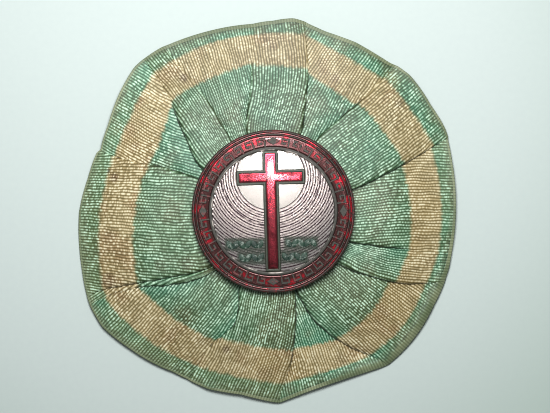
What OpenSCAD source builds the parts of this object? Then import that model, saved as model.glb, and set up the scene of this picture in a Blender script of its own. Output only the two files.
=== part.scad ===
// Round enamel badge on a pleated ribbon rosette, with a stick pin on its back.
// Face up, +Z up, +Y towards the head of the cross, origin under the middle of the rosette.

/* [Rosette] */
// Height of the underside in the middle
rise = 2.8; // [2.4:0.1:3.6]
// Thickness of the ribbon's wall at the rim
rim_wall = 1; // [1:0.1:1.6]
// Thickness of the gathered layers beside the badge
gather_wall = 1.6; // [1.4:0.1:2.2]
// How strongly the pleats step up and down
pleat_scale = 1; // [0.4:0.1:1.2]
// Radius of the hole in the middle of the gathers
gather_hole_r = 2.2; // [1.6:0.1:4]

/* [Badge] */
// Radius of the badge
badge_r = 15.25; // [14.5:0.05:15.5]
// Thickness of the metal under the enamel
base_t = 0.9; // [0.7:0.05:1.5]
// Radius of the silvery field
field_r = 11.4; // [10.5:0.1:11.6]
// Height of the enamel above the metal under it
enamel_t = 0.5; // [0.3:0.05:0.6]
// Height of the metal lines above the metal under the enamel
line_t = 0.65; // [0.6:0.05:1]
// Height of the outer rim above the metal under the enamel
rim_t = 0.9; // [0.7:0.05:1.2]

/* [Cross] */
// Height of the upright, measured over its metal outline
cross_h = 22.6; // [18:0.1:22.8]
// Span of the crossbar, measured over its metal outline
cross_span = 12.8; // [8:0.1:15]
// Width of both arms, measured over their metal outline
arm_w = 2.9; // [2:0.1:3.5]
// Width of the metal outline
outline_w = 0.5; // [0.3:0.05:0.7]
// Height of the crossing above the middle of the badge
crossing_y = 6.6; // [4:0.1:8]
// Radius of the plain disc behind the crossing
halo_r = 6.4; // [5:0.1:7]

/* [Pin] */
// Radius of the pin's wire
wire_r = 0.45; // [0.3:0.05:0.6]
// Height of the wire's middle above what the rosette lies on
wire_z = 0.95; // [0.7:0.05:1.2]
// Length of the straight wire
needle_len = 17; // [12:0.5:19]
// Length of the point
point_len = 3; // [2:0.5:4]

/* [Hidden] */
$fn = 96;

// The gathers meet beside the middle of the rosette's outline.
rim_r = 35.6;
outer_r = 28;
inner_r = 21.5;
badge_edge_r = 15.5;

// One row for each edge of a pleat, anticlockwise from the right.
// Its angle at the rim, at outer_r, at inner_r and at the badge; then side,
// 1 where the ribbon after the edge lies on top and -1 where the ribbon before it does;
// then the height of the step beside the badge.
// rim, outer, inner, badge, side, step
PLEATS = [
    [22.9, 20.6, 18.3, 15.5, 1, 1.0],
    [50.0, 50.8, 53.8, 58.9, -1, 0.7],
    [80.3, 76.7, 73.5, 70.5, 1, 0.9],
    [95.5, 98.0, 101.6, 109.5, -1, 0.8],
    [123.5, 121.6, 120.4, 120.8, 1, 0.4],
    [130.5, 132.9, 139.4, 149.8, -1, 1.1],
    [160.9, 160.8, 158.0, 156.8, 1, 0.6],
    [204.8, 208.2, 213.8, 222.4, -1, 0.8],
    [207.0, 209.8, 218.2, 225.6, -1, 0.7],
    [243.5, 244.2, 252.7, 246.3, 1, 0.7],
    [271.5, 277.0, 281.0, 284.8, -1, 0.9],
    [307.0, 297.9, 290.2, 286.0, 1, 1.1],
    [338.5, 331.0, 326.3, 320.9, 1, 1.1],
    [347.0, 345.0, 342.2, 338.4, 1, 0.7],
];

// One row for each stretch of rim, from the edge in the same row above to the next one:
// the rim's radius at its start, middle and end, then the rim's height at its start and
// how far its middle lies above the line between its ends.
// start_r, mid_r, end_r, start_lift, mid_lift
RIM = [
    [35.45, 35.65, 35.6, 0.0, 0.3],
    [35.5, 34.75, 35.8, 0.5, 1.2],
    [35.85, 35.95, 35.45, 1.8, 0.3],
    [35.4, 35.8, 36.9, 2.0, -0.3],
    [37.0, 37.15, 37.2, 0.8, 0.0],
    [37.2, 35.4, 33.7, 0.3, 0.5],
    [34.3, 36.4, 38.5, 0.6, -0.5],
    [38.6, 38.6, 38.65, 0.0, 0.0],
    [38.75, 37.35, 35.6, 0.1, 0.3],
    [35.7, 35.2, 35.9, 0.0, 0.5],
    [35.9, 33.95, 35.65, 0.0, 1.1],
    [35.7, 35.4, 34.7, 0.0, 0.3],
    [34.6, 34.4, 34.2, 0.2, 0.0],
    [34.2, 34.25, 35.3, 0.2, 0.4],
];

// Rows of the ribbon's grid from the hole, 0, to the rim, 1, and columns across one stretch.
ROWS = [0, 0.16, 0.33, 0.41, 0.5, 0.59, 0.68, 0.77, 0.86, 0.93, 0.975, 1];
COLUMNS = [0, 0.12, 0.31, 0.5, 0.69, 0.88, 1];
step_gap = 0.12;
corner_round = 1.5;
gather_start = 0.42;
gather_power = 0.85;
puff = 0.2;
dome_start = 0.62;
lift_start = 0.68;
underside_share = 0.35;

function smooth(x) = let (t = min(1, max(0, x))) t * t * (3 - 2 * t);
function mix(a, b, t) = a + (b - a) * t;
function hump(t) = 4 * t * (1 - t);

pleats = len(PLEATS);
function next(k) = (k + 1) % pleats;

// Angle of edge k at radius r, with its corners rounded off by an average.
function edge_table(k) = [
    [badge_edge_r, PLEATS[k][3]],
    [inner_r, PLEATS[k][2]],
    [outer_r, PLEATS[k][1]],
    [rim_r, PLEATS[k][0]],
];
function edge_angle(k, r) =
    let (a = [for (d = [-corner_round, 0, corner_round]) lookup(r + d, edge_table(k))])
    (a[0] + a[1] + a[2]) / 3;

// Angle at share w of the stretch after edge k, just clear of the step at either end.
function stretch_angle(k, w, r) =
    let (a = edge_angle(k, r),
         b = edge_angle(next(k), r) + (next(k) == 0 ? 360 : 0),
         gap = min(step_gap / r * 180 / PI, (b - a) / 5))
    mix(a + gap, b - gap, w);

function rim_radius(k, w) =
    let (sag = RIM[k][1] - (RIM[k][0] + RIM[k][2]) / 2)
    mix(RIM[k][0], RIM[k][2], w) + sag * hump(w);
function rim_lift(k, w) = mix(RIM[k][3], RIM[next(k)][3], w) + RIM[k][4] * hump(w);

// Share of the full gather: 1 inside gather_start and 0 at the rim.
function gather(u) = pow(min(1, max(0, (1 - u) / (1 - gather_start))), gather_power);

// Height of a pleat's top over the mean: up on the side that lies on top, down on the other.
function pleat_height(k, w, u) =
    let (start = PLEATS[k][4] * PLEATS[k][5] / 2,
         end = -PLEATS[next(k)][4] * PLEATS[next(k)][5] / 2)
    pleat_scale * gather(u) * (mix(start, end, smooth(w)) + puff * hump(w));

function underside(k, w, u) =
    rise * (1 - smooth((u - dome_start) / (1 - dome_start)))
    + rim_lift(k, w) * smooth((u - lift_start) / (1 - lift_start))
    + underside_share * pleat_height(k, w, u);

function wall(u) = mix(rim_wall, gather_wall, gather(u));

// A point of the ribbon: stretch k, share w across it, row f from the hole to the rim.
function ribbon_point(k, w, f, top) =
    let (big = rim_radius(k, w),
         r = mix(gather_hole_r, big, f),
         a = stretch_angle(k, w, r),
         u = r / big,
         low = underside(k, w, u),
         high = low + wall(u) + (1 - underside_share) * pleat_height(k, w, u))
    [r * cos(a), r * sin(a), top ? high : low];

function ribbon_row(f, top) = [for (k = [0:pleats - 1], w = COLUMNS) ribbon_point(k, w, f, top)];

rim_line = ribbon_row(1, true);
function column(points, i) = [for (p = points) p[i]];
gather_x = -(min(column(rim_line, 0)) + max(column(rim_line, 0))) / 2;
gather_y = -(min(column(rim_line, 1)) + max(column(rim_line, 1))) / 2;
lowest = min([for (f = ROWS) min(column(ribbon_row(f, false), 2))]);
highest = max([for (f = ROWS) max(column(ribbon_row(f, true), 2))]);

// The badge lies just clear of the highest gathers.
seat_gap = 0.08;
badge_z = highest - lowest + seat_gap;
floor_z = badge_z + base_t;

module on_gathers() {
    translate([gather_x, gather_y, 0]) children();
}

module rosette() {
    across = pleats * len(COLUMNS);
    rows = len(ROWS);
    layer = across * rows;
    tops = [for (f = ROWS) each ribbon_row(f, true)];
    lows = [for (f = ROWS) each ribbon_row(f, false)];
    rows_up = [for (j = [0:rows - 2], i = [0:across - 1])
        let (a = j * across + i, b = j * across + (i + 1) % across) [a, b, a + across, b + across]];
    top_faces = [for (q = rows_up) each [[q[0], q[1], q[3]], [q[0], q[3], q[2]]]];
    low_faces = [for (q = rows_up) each
        [[q[3] + layer, q[1] + layer, q[0] + layer], [q[2] + layer, q[3] + layer, q[0] + layer]]];
    last = (rows - 1) * across;
    rim_faces = [for (i = [0:across - 1])
        let (n = (i + 1) % across) each
        [[last + i, last + n, last + n + layer], [last + i, last + n + layer, last + i + layer]]];
    hole_faces = [for (i = [0:across - 1])
        let (n = (i + 1) % across) each [[n, i, i + layer], [n, i + layer, n + layer]]];
    color([0.47, 0.66, 0.55])
    on_gathers() translate([0, 0, -lowest])
    polyhedron(concat(tops, lows), concat(top_faces, low_faces, rim_faces, hole_faces));
}

// Badge. What stands on the metal is sunk into it by sink, the enamel is clear of the metal by
// gap, and cutters reach past what they cut by over.
sink = 0.1;
gap = 0.03;
over = 1;
bottom_chamfer = 0.25;
rim_chamfer = 0.15;
rim_w = 0.5;
edge_line_w = 0.3;
wire_ring_w = 0.24;
inner_ring_w = 0.65;
inner_ring_t = line_t + 0.1;
outline_t = line_t + 0.05;

// Field: ripples round the crossing, and a plain disc behind it
field_t = 0.35;
relief_t = 0.12;
ripple_pitch = 0.9;
ripple_w = 0.4;
ripples = 14;
cross_turn = 1.7;
cross_x = -0.3;

rim_in_r = badge_r - rim_w;
edge_in_r = rim_in_r - edge_line_w;
wire_in_r = edge_in_r - wire_ring_w;
band_in_r = field_r + inner_ring_w;

module ring(r_in, r_out, z0, z1) {
    translate([0, 0, z0]) difference() {
        cylinder(h = z1 - z0, r = r_out);
        translate([0, 0, -over]) cylinder(h = z1 - z0 + 2 * over, r = r_in);
    }
}

// Border: hooked frets that stand on the inner ring, and a lozenge at each quarter.
frets = 36;
fret_turn = 360 / frets;
fret_cells = 7;
fret_levels = 5.4;
fret_start = 1;
lozenge_every = 9;
lozenge_l = 2.5;
lozenge_w = 1.44;
band_mid_r = (band_in_r + wire_in_r) / 2;
cell_h = (wire_in_r - band_in_r) / fret_levels;

// The hook's outline, one row for each corner: its place in cells round the ring and out from
// it, then which way the corner moves round and out when the hook grows by a margin.
// cell, level, grow_round, grow_out
FRET = [
    [0, -0.4, -1, 0],
    [0, 4.4, -1, 1],
    [2.5, 4.4, 0, 1],
    [5, 4.4, 1, 1],
    [5, 1.4, 1, -1],
    [2, 1.4, -1, -1],
    [2, 2.4, -1, 1],
    [4, 2.4, -1, 1],
    [4, 3.4, -1, -1],
    [1, 3.4, 1, -1],
    [1, -0.4, 1, 0],
];

function fret_corner(row, grow) =
    let (turn = row[0] / fret_cells * fret_turn + row[2] * grow / band_mid_r * 180 / PI,
         r = band_in_r + row[1] * cell_h + row[3] * grow)
    [r * cos(turn), r * sin(turn)];

module fret(grow) {
    polygon([for (row = FRET) fret_corner(row, grow)]);
}

module lozenge(grow) {
    side = norm([lozenge_l, lozenge_w]);
    long = lozenge_l / 2 + grow * side / lozenge_w;
    wide = lozenge_w / 2 + grow * side / lozenge_l;
    translate([band_mid_r, 0]) polygon([[wide, 0], [0, long], [-wide, 0], [0, -long]]);
}

module border(grow, z0, z1) {
    translate([0, 0, z0]) linear_extrude(z1 - z0)
    for (i = [0:frets - 1]) {
        if (i % lozenge_every == 0) rotate(i * fret_turn) lozenge(grow);
        else rotate((i - 0.5) * fret_turn + fret_start * fret_turn / fret_cells) fret(grow);
    }
}

// Cross, as two bars grown by a margin on every side.
module cross_shape(margin, z0, z1) {
    top_y = cross_h / 2;
    translate([cross_x, 0, z0]) rotate(cross_turn) {
        translate([-arm_w / 2 - margin, -top_y - margin, 0])
        cube([arm_w + 2 * margin, cross_h + 2 * margin, z1 - z0]);
        translate([-cross_span / 2 - margin, crossing_y - arm_w / 2 - margin, 0])
        cube([cross_span + 2 * margin, arm_w + 2 * margin, z1 - z0]);
    }
}

crossing = [cross_x - crossing_y * sin(cross_turn), crossing_y * cos(cross_turn)];

// Sprigs: two rows of leaves on each side of the upright.
leaf_l = 1.7;
leaf_w = 0.86;
leaf_tilt = 32;
leaf_pitch = 1.15;
leaf_t = 0.25;
leaf_crown = 0.05;

// side, first x from the upright, y of the row, leaves
SPRIGS = [
    [-1, 2.3, -6.1, 6],
    [-1, 2.3, -8.4, 4],
    [1, 3.0, -6.1, 5],
    [1, 2.3, -8.4, 4],
];

module leaf(grow, z0, z1) {
    // Two round sides that meet in points at both ends
    side_r = (pow(leaf_l / 2, 2) + pow(leaf_w / 2, 2)) / leaf_w;
    translate([0, 0, z0]) linear_extrude(z1 - z0) intersection() {
        translate([0, side_r - leaf_w / 2]) circle(side_r + grow);
        translate([0, leaf_w / 2 - side_r]) circle(side_r + grow);
    }
}

module leaves(grow, z0, z1) {
    translate([cross_x, 0, 0]) rotate(cross_turn)
    for (row = SPRIGS, i = [0:row[3] - 1])
        translate([row[0] * (row[1] + i * leaf_pitch), row[2], 0])
        rotate(row[0] * (i % 2 == 0 ? leaf_tilt : -leaf_tilt) + 90)
        leaf(grow, z0, z1);
}

module ripple_rings(z0, z1) {
    translate([crossing[0], crossing[1], 0])
    for (i = [1:ripples])
        ring(halo_r + i * ripple_pitch - ripple_w, halo_r + i * ripple_pitch, z0, z1);
}

module field() {
    top = floor_z + field_t;
    difference() {
        union() {
            translate([0, 0, floor_z - sink]) cylinder(h = field_t + sink, r = field_r + sink);
            intersection() {
                translate([0, 0, floor_z]) cylinder(h = field_t + relief_t, r = field_r + sink);
                union() {
                    ripple_rings(floor_z, top + relief_t);
                    translate([crossing[0], crossing[1], floor_z])
                    cylinder(h = field_t + relief_t, r = halo_r);
                }
            }
        }
        cross_shape(-outline_w / 2, floor_z, top + over);
        leaves(gap, top - leaf_t, top + over);
    }
}

module cross_outline() {
    intersection() {
        difference() {
            cross_shape(0, floor_z - sink, floor_z + outline_t);
            cross_shape(-outline_w, floor_z - over, floor_z + outline_t + over);
        }
        translate([0, 0, floor_z - over]) cylinder(h = outline_t + 2 * over, r = field_r + 2 * sink);
    }
}

pad_r = 1.5;
pad_t = 0.35;
bend_r = 1.2;
tip_r = 0.08;

module pin_wire() {
    // Solder pad under the badge
    translate([0, 0, badge_z - pad_t]) cylinder(h = pad_t + sink, r = pad_r);
    // Upright part through the gathers
    translate([0, 0, wire_z + bend_r]) cylinder(h = badge_z - wire_z - bend_r, r = wire_r);
    // Bend
    translate([0, -bend_r, wire_z + bend_r]) rotate([0, 90, 0]) rotate_extrude(angle = 90)
    translate([bend_r, 0]) circle(wire_r);
    // Straight wire and its point
    translate([0, -bend_r, wire_z]) rotate([90, 0, 0]) cylinder(h = needle_len, r = wire_r);
    translate([0, -bend_r - needle_len, wire_z]) rotate([90, 0, 0])
    cylinder(h = point_len, r1 = wire_r, r2 = tip_r);
}

module badge_plate() {
    color([0.36, 0.32, 0.28]) on_gathers() {
        // Base and outer rim, with a chamfer at top and bottom
        rim_z = floor_z + rim_t;
        rotate_extrude() polygon([
            [0, badge_z], [badge_r - bottom_chamfer, badge_z], [badge_r, badge_z + bottom_chamfer],
            [badge_r, rim_z - rim_chamfer], [badge_r - rim_chamfer, rim_z],
            [rim_in_r + rim_chamfer, rim_z], [rim_in_r, rim_z - rim_chamfer],
            [rim_in_r, floor_z], [0, floor_z],
        ]);
        ring(wire_in_r, edge_in_r, floor_z - sink, floor_z + line_t);
        ring(field_r, band_in_r, floor_z - sink, floor_z + inner_ring_t);
        border(0, floor_z - sink, floor_z + line_t);
        field();
        cross_outline();
        pin_wire();
    }
}

module border_enamel() {
    color([0.72, 0.08, 0.17]) on_gathers() difference() {
        ring(band_in_r + gap, wire_in_r - gap, floor_z, floor_z + enamel_t);
        border(gap, floor_z - over, floor_z + enamel_t + over);
    }
}

module edge_enamel() {
    color([0.80, 0.12, 0.20]) on_gathers()
    ring(edge_in_r + gap, rim_in_r - gap, floor_z, floor_z + enamel_t);
}

module cross_enamel() {
    color([0.78, 0.09, 0.18]) on_gathers() intersection() {
        cross_shape(-outline_w - gap, floor_z, floor_z + enamel_t);
        translate([0, 0, floor_z]) cylinder(h = enamel_t, r = field_r - gap);
    }
}

module leaf_enamel() {
    color([0.14, 0.31, 0.24]) on_gathers()
    leaves(0, floor_z + field_t - leaf_t, floor_z + field_t + leaf_crown);
}

badge_plate();
border_enamel();
edge_enamel();
cross_enamel();
leaf_enamel();
rosette();
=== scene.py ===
"""Looks of the round enamel badge on its pleated ribbon rosette.

Lengths are in millimetres until put_mesh() turns them into metres, angles are in degrees
anticlockwise from the right, and every piece lies where its CAD solid lies.
"""

import math

import bmesh
import bpy
import numpy as np
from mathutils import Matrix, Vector


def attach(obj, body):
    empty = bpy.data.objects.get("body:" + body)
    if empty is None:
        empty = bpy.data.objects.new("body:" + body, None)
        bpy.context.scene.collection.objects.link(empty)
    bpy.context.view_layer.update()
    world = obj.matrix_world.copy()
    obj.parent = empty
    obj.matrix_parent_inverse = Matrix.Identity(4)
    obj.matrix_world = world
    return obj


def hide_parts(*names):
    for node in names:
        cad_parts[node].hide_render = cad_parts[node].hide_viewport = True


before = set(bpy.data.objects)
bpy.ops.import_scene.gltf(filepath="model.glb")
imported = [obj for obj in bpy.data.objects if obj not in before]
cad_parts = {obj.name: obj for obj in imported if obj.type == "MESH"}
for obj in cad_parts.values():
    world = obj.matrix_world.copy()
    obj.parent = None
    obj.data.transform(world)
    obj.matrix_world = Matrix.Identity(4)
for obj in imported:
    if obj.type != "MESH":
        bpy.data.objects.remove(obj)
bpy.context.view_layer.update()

MM = 0.001

# Sizes shared with the CAD

GATHER_X, GATHER_Y = 1.17883, -0.01959
AT_BADGE = [GATHER_X, GATHER_Y, 0]
BADGE_Z = 5.3627
BASE_T = 0.9
FLOOR_Z = BADGE_Z + BASE_T
BADGE_R = 15.25
RIM_IN_R = 14.75
EDGE_IN_R = 14.45
WIRE_IN_R = 14.21
BAND_IN_R = 12.05
BAND_MID_R = (BAND_IN_R + WIRE_IN_R) / 2
FIELD_R = 11.4
ENAMEL_T = 0.5
LINE_T = 0.65
RIM_T = 0.9
FIELD_T = 0.35

# Pleat edges: angle at the rim, at 28 mm, at 21.5 mm and at the badge; 1 where the ribbon
# after the edge lies on top, -1 where the ribbon before it does; height of the step.
PLEATS = np.array([
    [22.9, 20.6, 18.3, 15.5, 1, 1.0],
    [50.0, 50.8, 53.8, 58.9, -1, 0.7],
    [80.3, 76.7, 73.5, 70.5, 1, 0.6],
    [95.5, 98.0, 101.6, 109.5, -1, 0.35],
    [123.5, 121.6, 120.4, 120.8, 1, 0.2],
    [130.5, 132.9, 139.4, 149.8, -1, 1.1],
    [160.9, 160.8, 158.0, 156.8, 1, 0.6],
    [204.8, 208.2, 213.8, 222.4, -1, 0.8],
    [207.0, 209.8, 218.2, 225.6, -1, 0.7],
    [243.5, 244.2, 252.7, 246.3, 1, 0.7],
    [271.5, 277.0, 281.0, 284.8, -1, 0.9],
    [307.0, 297.9, 290.2, 286.0, 1, 1.1],
    [338.5, 331.0, 326.3, 320.9, 1, 1.1],
    [347.0, 345.0, 342.2, 338.4, 1, 0.7],
])
EDGE_RADII = [15.5, 21.5, 28.0, 35.6]

# Radius past which each pleat's step fades out over 5 mm.
STEP_END = [36, 28, 28, 25, 26, 24, 36, 36, 27, 24, 28, 32, 36, 24]

# Rim of each stretch: radius at its start, middle and end, height at its start, and how far
# its middle lies above the line between its ends.
RIM = np.array([
    [35.45, 35.65, 35.6, 0.0, 0.3],
    [35.5, 34.75, 35.8, 0.5, 1.2],
    [35.85, 35.95, 35.45, 1.8, 0.3],
    [35.4, 35.8, 36.9, 2.0, -0.3],
    [37.0, 37.15, 37.2, 0.8, 0.0],
    [37.2, 35.4, 33.7, 0.3, 0.5],
    [34.3, 36.4, 38.5, 0.6, -0.5],
    [38.6, 38.6, 38.65, 0.0, 0.0],
    [38.75, 37.35, 35.6, 0.1, 0.3],
    [35.7, 35.2, 35.9, 0.0, 0.5],
    [35.9, 33.95, 35.65, 0.0, 0.5],
    [35.7, 35.4, 34.7, 0.0, 0.3],
    [34.6, 34.4, 34.2, 0.2, 0.0],
    [34.2, 34.25, 35.3, 0.2, 0.4],
])
RISE = 2.8
LIFT_OFF_FLOOR = 0.13
CORNER_ROUND = 1.5

# Way the ribs run in each stretch: at its start and end by the rim, then by the badge.
RIBS = np.array([
    [40, 42, 31, 38],
    [54, 59, 62, 69],
    [97, 99, 71, 75],
    [99, 115, 102, 115],
    [126, 131, 120, 124],
    [147, 150, 163, 166],
    [181, 172, 178, 175],
    [212, 216, 194, 198],
    [226, 228, 228, 236],
    [240, 250, 254, 262],
    [281, 299, 280, 306],
    [318, 327, 316, 322],
    [355, 359, 335, 345],
    [359, 359, 366, 372],
], float)

# Radius of the stripe's outer edge, then of its inner edge, at a stretch's start, middle and end.
STRIPE = np.array([
    [32.6, 32.2, 32.7, 26.2, 25.6, 25.9],
    [32.3, 32.1, 33.5, 25.3, 25.4, 26.6],
    [33.8, 33.6, 33.4, 27.6, 27.3, 27.8],
    [33.4, 33.8, 34.0, 28.0, 27.6, 27.8],
    [34.1, 34.2, 34.4, 27.9, 28.1, 28.0],
    [34.4, 32.3, 31.7, 27.6, 25.1, 25.1],
    [31.9, 32.7, 35.4, 25.0, 26.3, 28.9],
    [35.3, 35.2, 35.2, 29.2, 29.1, 29.1],
    [35.7, 33.8, 32.3, 29.1, 27.3, 26.7],
    [32.5, 31.9, 32.4, 25.8, 25.6, 26.4],
    [32.5, 31.8, 32.9, 26.2, 26.3, 27.0],
    [32.5, 32.5, 31.6, 26.8, 26.4, 25.5],
    [31.8, 32.0, 32.1, 26.5, 26.4, 26.6],
    [32.0, 31.7, 31.9, 26.5, 25.8, 25.7],
])

# How faded the green is at a stretch's start, middle and end, from 0 fresh to 1 dull sage, and how
# much more the green outside the cream stripe is.
FADED = np.array([
    [0.55, 0.4, 0.6, 0],
    [0.1, 0.2, 0.25, 0.2],
    [0.8, 0.45, 0.65, 0],
    [0.1, 0.35, 0.4, 0.25],
    [0.75, 0.6, 0.7, 0.1],
    [0.05, 0.1, 0.2, 0.35],
    [0.6, 0.8, 1.1, 0.15],
    [0.75, 0.75, 0.85, 0.3],
    [0.15, 0.8, 0.3, 0.4],
    [0.8, 0.85, 0.95, 0.15],
    [0.15, 0.1, 0.2, 0.3],
    [0.35, 0.8, 0.7, 0],
    [0.8, 0.25, 0.05, 0.2],
    [0.45, 0.6, 0.7, 0.2],
])

# Painted sheen and shade: places where the silk is drawn lighter or darker; x and y from the badge's middle,
# radius, gain.
PAINTED_SHEEN_AND_SHADE = [
    (-11.0, 14.9, 2.2, -0.15), (2.7, 16.8, 2.0, -0.25), (10.9, 13.1, 1.8, -0.22), (11.9, -12.4, 1.8, -0.22),
    (-9.0, -27.2, 2.0, -0.22), (22.2, 16.8, 2.2, -0.22), (-3.1, 19.8, 1.8, -0.2), (15.8, 23.8, 2.2, -0.22),
    (-0.9, -27.2, 2.0, 0.3), (25.2, -7.0, 2.2, 0.28), (-32.6, 8.9, 2.0, 0.28), (-2.6, -29.8, 1.6, 0.22),
    (-25.5, 20.6, 2.2, 0.22), (22.4, -16.9, 2.0, 0.22), (27.8, 17.8, 2.2, 0.22), (-18.1, 20.4, 2.0, 0.22),
    (6.8, -24.4, 2.0, 0.22), (-10.8, -22.4, 2.0, 0.15), (-30.6, 13.4, 3.6, 0.22), (31.0, 14.0, 3.0, 0.12),
]

# Painted light and shade: how much lighter or darker the silk of each stretch is drawn.
PAINTED_STRETCH_BRIGHTNESS = [0.92, 0.89, 0.77, 0.86, 0.91, 1.05, 1.07, 1.2, 1.02, 1.08, 1.27, 1.02, 1.09, 1.06]

# How far the soft rim stands past the solid's: angle, distance.
SPREAD = np.array([
    [0, 0.29], [16, 0.28], [26, 0.47], [34, 0.19], [45, 0.72], [52, 0.27], [64, 0.58], [74, 0.04],
    [79, 0.16], [84, 0.52], [90, -0.07], [104, 0.2], [124, 0.35], [130, 0.5], [134, 0.96], [142, 0.8],
    [152, 0.51], [159, 0.83], [170, 0.38], [180, 0.52], [190, 0.14], [196, 0.05], [208, 0.25],
    [214, 0.72], [224, 0], [238, -0.41], [242, -0.12], [250, 0.44], [260, -0.1], [270, 0.33],
    [280, 0.26], [292, 0.38], [304, 0.5], [320, 0.16], [330, -0.08], [342, 0.37], [360, 0.29],
])

# Width of the selvage round the rim: angle, width.
SELVAGE = np.array([
    [0, 0.45], [45, 0.45], [58, 0.7], [118, 0.7], [132, 0.5], [160, 0.35], [240, 0.4],
    [285, 0.7], [300, 1.35], [328, 1.4], [345, 0.7], [360, 0.45],
])

# Soiled edge: angle, then how far past the selvage it is full and how far it reaches.
SOIL = np.array([
    [0, 0.1, 0.5], [40, 0.2, 0.6], [60, 0.0, 0.4], [130, 0.0, 0.4], [165, 0.1, 0.8], [178, 0.5, 1.5],
    [192, 0.5, 1.5], [202, 0.2, 0.9], [225, 0.3, 0.8], [250, 0.5, 1.2], [265, 0.6, 1.6],
    [285, 0.2, 0.9], [345, 0.2, 0.9], [360, 0.1, 0.5],
])

RIBBON_W = 33.0
RIBBON_T = 0.22
RIB_PITCH = 0.535
RIB_H = 0.045
COLUMNS_PER_RIB = 3
BEND = 0.3
SAG = 0.25

# Distances from the rim at which the ribbon's rows lie.
ROWS = np.array([
    0, 0.12, 0.3, 0.55, 0.85, 1.2, 1.7, 2.4, 3.2, 4.1, 5.1, 6.2, 7.3, 8.4, 9.5, 10.6, 11.7, 12.8,
    13.9, 15.0, 16.1, 17.2, 18.3, 19.4, 20.5, 21.6, 22.8, 24.2, 26.0, 28.2, 30.6, 33.0,
])


def smooth(t):
    """Eased step: 0 below 0, 1 above 1, and 3t^2 - 2t^3 between."""
    t = np.clip(t, 0, 1)
    return t * t * (3 - 2 * t)


def mix(a, b, t):
    """Straight line from a at 0 to b at 1."""
    return a + (b - a) * t


def hump(t):
    """Parabola that is 0 at 0 and 1, and 1 in the middle."""
    return 4 * t * (1 - t)


def through(start, middle, end, w):
    """Parabola through three values at shares 0, 0.5 and 1."""
    return mix(start, end, w) + (middle - (start + end) / 2) * hump(w)


# Meshes


def put_mesh(name, points, faces, material, uv=None, marks=None, flat=False, merge=0.0):
    """One finished piece: points in millimetres, faces as rows of corner numbers, uv per corner,
    marks, one number for each point under a name that the material reads, and the distance
    within which points are merged."""
    mesh = bpy.data.meshes.new(name)
    faces = [f for group in faces for f in np.asarray(group).tolist()]
    mesh.from_pydata((np.asarray(points, float) * MM).tolist(), [], faces)
    mesh.update()
    if merge:
        shape = bmesh.new()
        shape.from_mesh(mesh)
        bmesh.ops.remove_doubles(shape, verts=shape.verts, dist=merge * MM)
        shape.to_mesh(mesh)
        shape.free()
    if uv is not None:
        layer = mesh.uv_layers.new(name="weave")
        layer.data.foreach_set("uv", np.asarray(uv, np.float32).ravel())
    for mark, values in (marks or {}).items():
        attribute = mesh.attributes.new(mark, "FLOAT", "POINT")
        attribute.data.foreach_set("value", np.asarray(values, np.float32).ravel())
    mesh.polygons.foreach_set("use_smooth", [not flat] * len(mesh.polygons))
    mesh.materials.append(material)
    piece = bpy.data.objects.new(name, mesh)
    bpy.context.scene.collection.objects.link(piece)
    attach(piece, "root")
    return piece


def ring_of(columns):
    """Numbers of the points round a ring, and of the point after each."""
    i = np.arange(columns)
    return i, (i + 1) % columns


def fan(i, n, tip):
    """Triangles that join each edge of a ring, from point i to point n, to the point tip."""
    return np.stack([i, n, i * 0 + tip], axis=1)


def quads(rows, columns, wrap=False, start=0, turned=False):
    """Faces of a grid whose points run row by row. wrap joins the last column to the first."""
    j, i = np.meshgrid(np.arange(rows - 1), np.arange(columns if wrap else columns - 1), indexing="ij")
    n = (i + 1) % columns
    corners = [j * columns + i, j * columns + n, (j + 1) * columns + n, (j + 1) * columns + i]
    made = np.stack([c.ravel() for c in corners], axis=1) + start
    return made[:, ::-1] if turned else made


# Ribbon


def edge_angle(k, r):
    """Angle of pleat edge k at radius r: the table's straight lines, averaged over 3 mm."""
    turns, k = divmod(k, len(PLEATS))
    angles = [np.interp(r + d, EDGE_RADII, PLEATS[k, 3::-1]) for d in (-CORNER_ROUND, 0, CORNER_ROUND)]
    return sum(angles) / 3 + 360 * turns


def gather(u):
    """Share of the full gather at share u of the rim's radius: 1 at the badge, 0 at the rim."""
    return np.clip((1 - u) / 0.58, 0, 1) ** 0.85


def step_at(k, r, u):
    """Height of pleat k's step at radius r, share u of the rim's radius."""
    return PLEATS[k, 5] * gather(u) * (1 - smooth((r - STEP_END[k]) / 5))


def rim_line():
    """Rim as radius against angle, every tenth of a degree: the solid's, plus how far the soft
    edge spreads past it, with the joins eased."""
    angle = np.arange(3600) / 10
    radius = np.zeros(3600)
    for k in range(len(PLEATS)):
        a, b = edge_angle(k, 35.6), edge_angle(k + 1, 35.6)
        w = ((angle - a) % 360) / (b - a)
        inside = w <= 1
        radius[inside] = through(RIM[k, 0], RIM[k, 1], RIM[k, 2], w[inside])
    radius += np.interp(angle, SPREAD[:, 0], SPREAD[:, 1])
    spread = np.r_[radius[-8:], radius, radius[:8]]
    return angle, np.convolve(spread, np.ones(17) / 17, "valid")


def rim_share(at, rim_angle, rim_radius):
    """Radius of each point as a share of the rim's radius in the same direction."""
    outward = np.degrees(np.arctan2(at[..., 1], at[..., 0])) % 360
    return np.hypot(at[..., 0], at[..., 1]) / np.interp(outward, rim_angle, rim_radius, period=360)


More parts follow.
